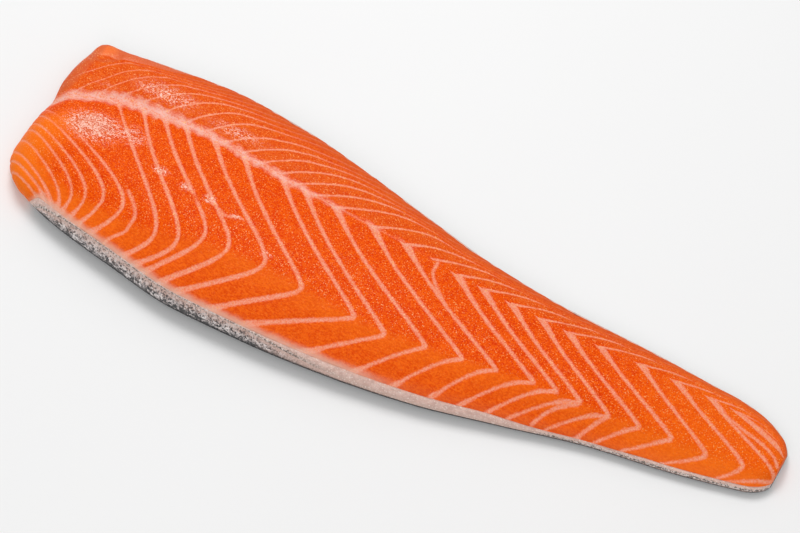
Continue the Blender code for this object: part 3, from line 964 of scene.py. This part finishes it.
def layer_solid(name, outer, inner, values, material, node):
    """A closed shell between two grids of points: both faces and the four borders between them."""
    rows, columns = outer.shape[:2]
    count = rows * columns
    faces_in = grid_faces(rows, columns, False) + count
    faces_out = (faces_in - count)[:, ::-1]
    grid = np.arange(count).reshape(rows, columns)
    borders = []
    for line, flip in ((grid[0], True), (grid[-1], False), (grid[:, 0], False), (grid[:, -1], True)):
        strip = np.stack((line[:-1], line[1:], line[1:] + count, line[:-1] + count), axis=-1)
        borders.append(strip[:, ::-1] if flip else strip)
    faces = np.concatenate([faces_out, faces_in] + borders)
    vertices = np.concatenate((outer.reshape(-1, 3), inner.reshape(-1, 3)))
    attributes = {label: np.concatenate((value.ravel(), value.ravel())) for label, value in values.items()}
    return make_piece(name, vertices, faces, attributes, material, node)


def layer_line(stations, angles_back, floor_count, angles_belly, depth_back, depth_belly):
    """Points of a layer's face at its depths inside the envelope: down the back wall's ellipse, over
    the flat underside in even steps, and up the belly wall's ellipse."""
    back = stations.wall("back", angles_back, depth_back)
    belly = stations.wall("belly", angles_belly, depth_belly)
    place = np.linspace(0.0, 1.0, floor_count + 2)[None, 1:-1]
    floor = stations.floor(place, depth_back[:, -1:], depth_belly[:, :1])
    y = np.hstack((back[0], floor[0], belly[0]))
    z = np.hstack((back[1], floor[1], belly[1]))
    return np.stack((stations.x + 0.0 * y, y, z), axis=2)


def lip_depth(share):
    """Thickness of the skin this share of the way down from its rim: a thin lip that soon thickens."""
    return SKIN_LIP + (SKIN_THICKNESS - SKIN_LIP) * ease_between(0.0, 0.3, share)


def evenly(count):
    """A row of places spread evenly from 0 to 1."""
    return np.linspace(0.0, 1.0, count)[None, :]


def build_fat(settings):
    """Lays the fat round the flesh: bare from its own rim to the skin's rim, then under the skin, and
    bare again on the belly wall. Under the rim it grows from 0.3 of its thickness to all of it in 3 mm.
    Its bare face on the back wall is uneven by layered noise, which starts above the skin, and sinks a
    little at the flesh."""
    stations = Stations(along_places(*FAT_STATIONS))
    rim = stations.fat_rim
    skin_rim = stations.skin_rim
    lowest = skin_rim + SKIN_STEP / stations.back_reach
    angles_bare = rim + (lowest - rim) * evenly(FAT_BARE)
    hidden = evenly(FAT_HIDDEN)
    angles_hidden = skin_rim + (UNDERSIDE - skin_rim) * hidden
    angles_back = np.hstack((angles_bare, angles_hidden))
    cover = np.hstack((0.0 * angles_bare, lip_depth(hidden) + 0.0 * angles_hidden))
    below_rim = (rim - angles_back) * stations.back_reach
    thick = stations.fat_back * (0.3 + 0.7 * ease_between(0.0, 3.0, below_rim))

    hidden_belly = UNDERSIDE + (SKIN_RIM_BELLY - UNDERSIDE) * evenly(FAT_HIDDEN_BELLY) + 0.0 * stations.x
    lowest_belly = SKIN_RIM_BELLY + SKIN_STEP / stations.belly_reach
    bare_belly = lowest_belly + (FAT_RIM_BELLY - lowest_belly) * evenly(FAT_BARE_BELLY)
    angles_belly = np.hstack((hidden_belly, bare_belly))
    cover_belly = np.hstack((SKIN_THICKNESS + 0.0 * hidden_belly, 0.0 * bare_belly))
    cover_belly[:, FAT_HIDDEN_BELLY - 1] = SKIN_LIP
    thin = 1.0 - 0.6 * ease_between(SKIN_RIM_BELLY, FAT_RIM_BELLY, angles_belly)
    thick_belly = stations.fat_belly * thin
    outer = layer_line(stations, angles_back, FAT_FLOOR, angles_belly, cover, cover_belly)
    inner = layer_line(stations, angles_back, FAT_FLOOR, angles_belly, cover + thick,
                       cover_belly + thick_belly)

    back_count = FAT_BARE + FAT_HIDDEN
    wall_share = np.zeros(outer.shape[:2])
    wall_share[:, :back_count] = (angles_back - skin_rim) / (rim - skin_rim)
    wall_share[:, -angles_belly.shape[1]:] = 0.8
    relief = uneven(outer[:, :back_count, 0], outer[:, :back_count, 2], *FAT_LUMPS)
    sunk = 0.35 * (1.0 - ease_between(0.0, 1.6, below_rim)) + 0.1
    above_skin = np.maximum(angles_back - skin_rim, 0.0) * stations.back_reach
    shift = np.zeros_like(wall_share)
    shift[:, :back_count] = ease_between(0.1, 1.4, above_skin) * (relief - sunk)
    shift[:, -FAT_BARE_BELLY:] = -0.4 * evenly(FAT_BARE_BELLY)
    outer = outer - surface_normals(outer) * shift[:, :, None]
    values = {"wall_share": wall_share, "along_mm": stations.x + 0.0 * wall_share}
    return layer_solid("salmon_fat", outer, inner, values, fat_material(settings), "fat")


def fat_material(settings):
    """Soft cream fat, pinker by the flesh, greyer over the skin in painted shade, mottled and wet, with
    painted glints.
    """
    bench = Bench("wet salmon fat")
    place = bench.place()
    share = bench.attribute("wall_share")
    along = bench.attribute("along_mm")
    mottle = bench.noise(place, FAT_MOTTLE, 4.0, 0.6)
    fine = bench.noise(place, FAT_GRAIN, 2.0, 0.5)
    cream = bench.mix(bench.ease(mottle, 0.35, 0.65), settings.cream, settings.cream_pale)
    # Painted shade: the fat greys and darkens down towards the skin.
    cream = bench.mix(bench.ease(share, 0.6, 0.1) * 0.6, cream, settings.cream_low_shade)
    edge = bench.ease(share + (mottle - 0.5) * 0.5, 0.72, 1.0)
    colour = bench.mix(edge * 0.8, cream, settings.blush)
    low_share = share + (fine - 0.5) * 1.2
    silver = bench.ease(along, 12.0, -30.0) * bench.ease(low_share, 0.5, 0.1)
    silver = silver + bench.ease(along, 110.0, 130.0) * bench.ease(low_share, 0.5, 0.2)
    flecks = bench.ease(bench.noise(place, FLECK, 2.0, 0.6), 0.44, 0.6)
    silvered = bench.mix(flecks, settings.shade, settings.silver)
    colour = bench.mix(silver, colour, silvered)
    # Painted glints: pale wet specks of reflected light.
    glint_dots = bench.ease(bench.noise(place, FAT_GLINT_SPECK, 0.0), 0.64, 0.74)
    colour = bench.mix(glint_dots * 0.6, colour, settings.painted_glint)
    normal = bench.bump(mottle * 0.7 + fine * 0.3, 0.5, 0.3)
    return bench.surface({"Base Color": colour, "Roughness": bench.ease(mottle, 0.3, 0.7, 0.4, 0.28),
                          "Normal": normal, "IOR": 1.4, "Specular IOR Level": 0.25,
                          "Subsurface Weight": 0.1, "Subsurface Radius": (1.0, 0.6, 0.45),
                          "Subsurface Scale": 0.002, "Coat Weight": 0.1 + 0.4 * glint_dots,
                          "Coat Roughness": 0.15})


def scale_relief(along_mm, across_mm):
    """0 to 1 over overlapping round scales: two sets of rows, half a scale apart both ways. A scale
    rises evenly along the fillet to its rear edge, which is a parabola, and drops to the next, and it
    is lower towards its sides. The higher of the two sets shows."""
    row = across_mm / SCALE_WIDTH
    best = np.zeros_like(row)
    for shift in (0.0, 0.5):
        column = row + shift
        beside = column - np.floor(column) - 0.5
        lead = along_mm / SCALE_LENGTH + shift + 1.4 * beside ** 2
        part = lead - np.floor(lead)
        best = np.maximum(best, part * (1.0 - 1.6 * beside ** 2))
    return best


def build_skin(settings):
    """Lays the skin round the outside, from its rim on the back wall, under everything, to its rim on
    the belly wall. It thins to a lip at both rims, and its outer face rises in scales, which fade out
    by the back rim."""
    stations = Stations(along_places(*SKIN_STATIONS))
    skin_rim = stations.skin_rim
    down = evenly(SKIN_BACK)
    up = evenly(SKIN_BELLY)
    angles_back = skin_rim + (UNDERSIDE - skin_rim) * down
    angles_belly = UNDERSIDE + (SKIN_RIM_BELLY - UNDERSIDE) * up + 0.0 * stations.x
    thick_back = lip_depth(down) + 0.0 * skin_rim
    thick_belly = SKIN_THICKNESS - (SKIN_THICKNESS - SKIN_LIP) * ease_between(0.7, 1.0, up) + 0.0 * skin_rim
    outer = layer_line(stations, angles_back, SKIN_FLOOR, angles_belly, 0.0 * angles_back,
                       0.0 * angles_belly)
    inner = layer_line(stations, angles_back, SKIN_FLOOR, angles_belly, thick_back, thick_belly)
    run = np.linalg.norm(np.diff(outer, axis=1), axis=2)
    girth = np.hstack((np.zeros((len(run), 1)), np.cumsum(run, axis=1)))
    middle = girth[:, outer.shape[1] // 2][:, None]
    everywhere = np.zeros_like(girth)
    smooth_rim = everywhere + 1.0
    smooth_rim[:, :SKIN_BACK] = ease_between(0.0, 0.12, down)
    rise = SCALE_HEIGHT * (1.0 - scale_relief(outer[:, :, 0], girth - middle)) * smooth_rim
    outer = outer + surface_normals(outer) * rise[:, :, None]
    wall_up = everywhere.copy()
    wall_up[:, :SKIN_BACK] = 1.0 - down
    degrees = everywhere - 90.0
    degrees[:, :SKIN_BACK] = np.degrees(angles_back)
    values = {"girth": girth / girth[:, -1:], "wall_up": wall_up, "wall_degrees": degrees,
              "along_mm": stations.x + everywhere}
    return layer_solid("salmon_skin", outer, inner, values, skin_material(settings), "skin")


def skin_material(settings):
    """Silver skin under fine scales: dark and spotted along the back, pale along the belly, and flecked
    light and dark where it turns up beside the cut, with painted highlights on the brightest flecks,
    painted light higher up that wall and painted shade along its lower edge."""
    bench = Bench("silver salmon skin")
    place = bench.place()
    girth = bench.attribute("girth")
    up = bench.attribute("wall_up")
    angle = bench.attribute("wall_degrees")
    along = bench.attribute("along_mm")
    patch = bench.noise(place, SKIN_PATCH, 4.0, 0.6)
    speck = bench.noise(place, SKIN_GRAIN, 2.0, 0.6)
    tone = bench.cell_tone(place, FLASHING_CELL)
    rim_of_cell = bench.cells(bench.place((1.0, 1.25, 1.25)), SCALE_CELL, "DISTANCE_TO_EDGE")
    back = bench.mix(bench.ease(patch, 0.35, 0.65), settings.back_dark, settings.back)
    colour = bench.mix(bench.ease(girth + (patch - 0.5) * 0.12, 0.2, 0.5), back, settings.silver)
    colour = bench.mix(bench.ease(girth + (patch - 0.5) * 0.1, 0.55, 0.9), colour, settings.belly)
    spots = bench.ease(bench.cells(place, SPOT_SPACING), 0.20, 0.15) * bench.ease(girth, 0.5, 0.35)
    colour = bench.mix(spots * 0.85, colour, settings.spot_and_shade)
    colour = bench.mix(bench.ease(rim_of_cell, 0.12, 0.0) * 0.5, colour, settings.spot_and_shade)
    # Painted highlights: brighter flecks gather in clusters.
    highlight_clump = bench.noise(bench.place((0.7, 1.2, 1.2)), SKIN_HIGHLIGHT_CLUMP, 2.0, 0.5)
    # Painted light: the wall's flecks are lighter higher up.
    lit = bench.ease(angle, -12.0, 26.0)
    light = tone * 0.45 + speck * 0.8 + highlight_clump * 0.6 + lit * 0.2
    wall = bench.mix(bench.ease(light, 0.93, 1.20), settings.wall_dark, settings.wall)
    # Painted highlight: the brightest flecks turn to near-white glitter.
    wall = bench.mix(bench.ease(light, 1.18, 1.32) * 0.85, wall, settings.glitter)
    wall = bench.mix(bench.ease(up + (speck - 0.5) * 0.6, 0.79, 1.02) * 0.8, wall, settings.rim)
    creamy = bench.ease(along + (patch - 0.5) * 60.0, -50.0, 5.0) * bench.ease(along, 60.0, 20.0)
    creamy = creamy * bench.ease(up + (speck - 0.5), 0.3, 0.7)
    wall = bench.mix(creamy * 0.8, wall, settings.rim)
    # Painted shade: the wall darkens to near black along its lower edge, where it turns under towards the
    # floor.
    under = bench.ease(angle + (speck - 0.5) * 24.0, 4.0, -12.0) * bench.ease(angle, -75.0, -55.0)
    wall = bench.mix(under * 0.95, wall, settings.spot_and_shade)
    colour = bench.mix(bench.ease(angle, -60.0, -38.0), colour, wall)
    glitter = bench.ease(tone, 0.6, 0.75)
    rough = bench.ease(speck, 0.3, 0.7, 0.3, 0.5) + under * 0.3
    normal = bench.bump(bench.ease(rim_of_cell, 0.0, 0.25), 0.5, 0.25)
    normal = bench.bump(speck, 0.35, 0.25, normal)
    metal = (0.1 + 0.3 * glitter) * (1.0 - under)
    coat = (0.15 + 0.3 * glitter) * (1.0 - under)
    return bench.surface({"Base Color": colour, "Roughness": rough, "Metallic": metal, "Normal": normal,
                          "Specular IOR Level": 0.25, "Coat Weight": coat, "Coat Roughness": 0.12})


# ---------------------------------------------------------------- stage


def build_stage(settings):
    """A square pale floor at z = 0, an even room light, two square lamps and the camera."""
    mesh = bpy.data.meshes.new("floor")
    reach = settings.floor_reach
    corners = [(-reach, -reach, 0.0), (reach, -reach, 0.0), (reach, reach, 0.0), (-reach, reach, 0.0)]
    mesh.from_pydata(corners, [], [(0, 1, 2, 3)])
    bench = Bench("pale floor")
    tone = bench.noise(bench.place(), 300.0, 2.0)
    colour = bench.mix(tone, settings.floor, [0.97 * part for part in settings.floor])
    finish = {"Base Color": colour, "Roughness": 0.8, "Specular IOR Level": 0.1}
    mesh.materials.append(bench.surface(finish))
    floor = bpy.data.objects.new("floor", mesh)
    bpy.context.scene.collection.objects.link(floor)
    world = bpy.data.worlds.new("soft room")
    world.use_nodes = True
    background = world.node_tree.nodes["Background"]
    background.inputs["Color"].default_value = (1.0, 1.0, 1.0, 1.0)
    background.inputs["Strength"].default_value = settings.room_light
    bpy.context.scene.world = world
    add_lamp("window light", *WINDOW_LAMP, settings.window_power)
    add_lamp("front light", *FRONT_LAMP, settings.front_power)
    bpy.context.scene.view_settings.view_transform = "Standard"
    add_camera(settings)


def add_lamp(name, place, size, power):
    """A square lamp of this size in metres that faces the fillet's middle."""
    lamp = bpy.data.lights.new(name, "AREA")
    lamp.shape = "SQUARE"
    lamp.size = size
    lamp.energy = power
    holder = bpy.data.objects.new(name, lamp)
    holder.location = place
    holder.rotation_euler = (-Vector(place)).to_track_quat("-Z", "Y").to_euler()
    bpy.context.scene.collection.objects.link(holder)


def add_camera(settings):
    """Stands the camera at the set angles and distance from a point low on the fillet."""
    turn = settings.turn
    tilt = settings.tilt
    back = Vector((np.sin(turn) * np.cos(tilt), -np.cos(turn) * np.cos(tilt), np.sin(tilt)))
    lens = bpy.data.cameras.new("camera")
    lens.lens = settings.lens
    lens.sensor_width = SENSOR_WIDTH
    holder = bpy.data.objects.new("camera", lens)
    aim = Vector(settings.aim)
    holder.location = aim + back * settings.distance
    holder.rotation_euler = back.to_track_quat("Z", "Y").to_euler()
    bpy.context.scene.collection.objects.link(holder)
    bpy.context.scene.camera = holder


# ---------------------------------------------------------------- add-on


def colour_setting(name, description, default):
    """A colour that the sidebar can change, as linear red, green and blue."""
    return bpy.props.FloatVectorProperty(name=name, description=description, default=default,
                                         subtype="COLOR", size=3, min=0.0, max=1.0)


class SalmonFleshSettings(bpy.types.PropertyGroup):
    """Colours of the muscle and of its fat lines, with its painted glints, shine, light and shade."""

    deep: colour_setting("Deep orange", "Darker grains of the loin muscle", (0.71, 0.038, 0.0))
    bright: colour_setting("Bright orange", "Lighter grains of the loin muscle", (0.90, 0.120, 0.003))
    flank_deep: colour_setting("Flank, deep", "Darker streaks of the near flank", (0.71, 0.063, 0.002))
    flank_bright: colour_setting("Flank, bright", "Lighter streaks of the flank", (0.90, 0.137, 0.008))
    # Painted light on the flank below the loin line and towards the head.
    flank_painted_light: colour_setting("Flank, glow", "Golden flesh just below the loin", (1.0, 0.210, 0.010))
    belly_deep: colour_setting("Belly, deep", "Darker grains beyond the spine line", (0.70, 0.056, 0.003))
    belly_bright: colour_setting("Belly, bright", "Lighter grains beyond the spine", (0.84, 0.135, 0.012))
    # Painted shade along the far edge.
    belly_edge_shade: colour_setting("Belly edge", "Muted flesh along the far edge", (0.63, 0.100, 0.024))
    lobe: colour_setting("Head lobe", "Yellower flesh of the head's near lobe", (0.98, 0.200, 0.010))
    knob: colour_setting("Knob", "Bright knob at the head's far corner", (0.92, 0.190, 0.040))
    # Also the colour of the painted shade in the knob's crease and at the foot of the near wall, and of the
    # darker wet patches.
    cut: colour_setting("Cut face", "Darker flesh where the head was cut", (0.66, 0.120, 0.040))
    sheet: colour_setting("Fat line", "Darker parts of the lines between muscles", (0.88, 0.23, 0.11))
    sheet_pale: colour_setting("Fat line, pale", "Lighter parts of those lines", (0.90, 0.38, 0.27))
    spine: colour_setting("Spine line", "Broad pale line where the spine lay", (0.88, 0.50, 0.43))
    fringe: colour_setting("Fringe", "Pale flesh that runs into the fat", (0.75, 0.42, 0.32))
    # Painted glints: pale specks of reflected light in the grain.
    painted_glint: colour_setting("Glint", "Pale wet specks in the grain", (1.0, 0.50, 0.17))
    # Painted shine: the pale reflection on the wettest patches.
    wet: colour_setting("Wet shine", "Pale shine of the wettest patches", (1.0, 0.62, 0.50))


class SalmonFatSettings(bpy.types.PropertyGroup):
    """Colours of the layer of fat under the skin, with its painted shade and glints."""

    cream: colour_setting("Cream", "Darker patches of the fat", (0.63, 0.41, 0.35))
    cream_pale: colour_setting("Pale cream", "Lighter patches of the fat", (0.77, 0.54, 0.47))
    # Painted shade on the fat down by the skin.
    cream_low_shade: colour_setting("Low cream", "Greyer fat down by the skin", (0.52, 0.37, 0.31))
    blush: colour_setting("Blush", "Fat next to the flesh", (0.77, 0.43, 0.33))
    shade: colour_setting("Shade", "Dark flecks of the thin skin over the fat", (0.12, 0.10, 0.09))
    silver: colour_setting("Silver", "Bright flecks of that skin", (0.70, 0.60, 0.56))
    # Painted glints on the fat.
    painted_glint: colour_setting("Glint", "Wet specks", (0.92, 0.78, 0.70))


class SalmonSkinSettings(bpy.types.PropertyGroup):
    """Colours of the scaled skin, with its painted glitter and shade."""

    back_dark: colour_setting("Back, dark", "Darkest patches of the back", (0.030, 0.036, 0.042))
    back: colour_setting("Back", "Slate colour of the back", (0.085, 0.100, 0.110))
    silver: colour_setting("Silver", "Silver of the sides", (0.36, 0.38, 0.40))
    belly: colour_setting("Belly", "Pale skin of the belly", (0.66, 0.65, 0.62))
    wall_dark: colour_setting("Cut edge, dark", "Dark flecks beside the cut", (0.050, 0.047, 0.048))
    wall: colour_setting("Cut edge", "Silver beside the cut", (0.50, 0.44, 0.43))
    rim: colour_setting("Rim", "Pinkish film at the skin's very edge", (0.68, 0.46, 0.39))
    # Also the painted shade along the lower edge of the wall beside the cut.
    spot_and_shade: colour_setting("Spot", "Dark spots and the gaps between scales", (0.02, 0.02, 0.022))
    # Painted highlight: the near-white glitter of the brightest scales.
    glitter: colour_setting("Glitter", "Bright scales", (0.86, 0.80, 0.78))


class SalmonStageSettings(bpy.types.PropertyGroup):
    """Floor, lights and camera."""

    floor: colour_setting("Floor", "Pale floor under the fillet", (0.88, 0.88, 0.88))
    floor_reach: bpy.props.FloatProperty(name="Floor reach", description="Half the floor's side",
                                         default=4.0, unit="LENGTH")
    room_light: bpy.props.FloatProperty(name="Room light", description="Strength of the even light",
                                        default=0.55)
    window_power: bpy.props.FloatProperty(name="Window light", description="Main light, behind left",
                                          default=11.5, unit="POWER")
    front_power: bpy.props.FloatProperty(name="Front light", description="Soft light from the front",
                                         default=6.0, unit="POWER")
    turn: bpy.props.FloatProperty(name="Camera turn", description="Camera's way round the fillet",
                                  default=float(np.radians(30.5)), subtype="ANGLE")
    tilt: bpy.props.FloatProperty(name="Camera tilt", description="Camera's height over the horizon",
                                  default=float(np.radians(55.0)), subtype="ANGLE")
    distance: bpy.props.FloatProperty(name="Camera distance", description="From the aim to the camera",
                                      default=1.256, unit="LENGTH")
    lens: bpy.props.FloatProperty(name="Lens", description="Focal length in millimetres", default=100.0)
    aim: bpy.props.FloatVectorProperty(name="Aim", description="Point that the camera looks at",
                                       default=(0.0001, 0.0145, 0.010), subtype="TRANSLATION", size=3)


class SALMON_OT_flesh(bpy.types.Operator):
    """Build the orange flesh with its fat lines and spine line"""

    bl_idname = "salmon.flesh"
    bl_label = "Flesh"

    def execute(self, context):
        build_flesh(context.scene.salmon_flesh)
        return {"FINISHED"}


class SALMON_OT_fat(bpy.types.Operator):
    """Build the layer of fat between the flesh and the skin"""

    bl_idname = "salmon.fat"
    bl_label = "Fat"

    def execute(self, context):
        build_fat(context.scene.salmon_fat)
        return {"FINISHED"}


class SALMON_OT_skin(bpy.types.Operator):
    """Build the silver skin and its scales"""

    bl_idname = "salmon.skin"
    bl_label = "Skin"

    def execute(self, context):
        build_skin(context.scene.salmon_skin)
        return {"FINISHED"}


class SALMON_OT_stage(bpy.types.Operator):
    """Build the floor, the lights and the camera"""

    bl_idname = "salmon.stage"
    bl_label = "Stage"

    def execute(self, context):
        build_stage(context.scene.salmon_stage)
        return {"FINISHED"}


class SALMON_PT_panel(bpy.types.Panel):
    """Lists the salmon's builders in the 3D view's sidebar"""

    bl_idname = "SALMON_PT_panel"
    bl_label = "Raw salmon side"
    bl_space_type = "VIEW_3D"
    bl_region_type = "UI"
    bl_category = "Salmon"

    def draw(self, context):
        for operator in OPERATORS:
            self.layout.operator(operator.bl_idname)


SETTINGS = {"salmon_flesh": SalmonFleshSettings, "salmon_fat": SalmonFatSettings,
            "salmon_skin": SalmonSkinSettings, "salmon_stage": SalmonStageSettings}
OPERATORS = (SALMON_OT_flesh, SALMON_OT_fat, SALMON_OT_skin, SALMON_OT_stage)


def register():
    """Adds the settings, the builders and the panel."""
    for label, group in SETTINGS.items():
        bpy.utils.register_class(group)
        setattr(bpy.types.Scene, label, bpy.props.PointerProperty(type=group))
    for operator in OPERATORS:
        bpy.utils.register_class(operator)
    bpy.utils.register_class(SALMON_PT_panel)


def unregister():
    """Takes them away again, last first."""
    bpy.utils.unregister_class(SALMON_PT_panel)
    for operator in reversed(OPERATORS):
        bpy.utils.unregister_class(operator)
    for label, group in SETTINGS.items():
        delattr(bpy.types.Scene, label)
        bpy.utils.unregister_class(group)


def main():
    """Builds everything in order."""
    register()
    bpy.ops.salmon.flesh()
    bpy.ops.salmon.fat()
    bpy.ops.salmon.skin()
    bpy.ops.salmon.stage()


if __name__ == "__main__":
    main()
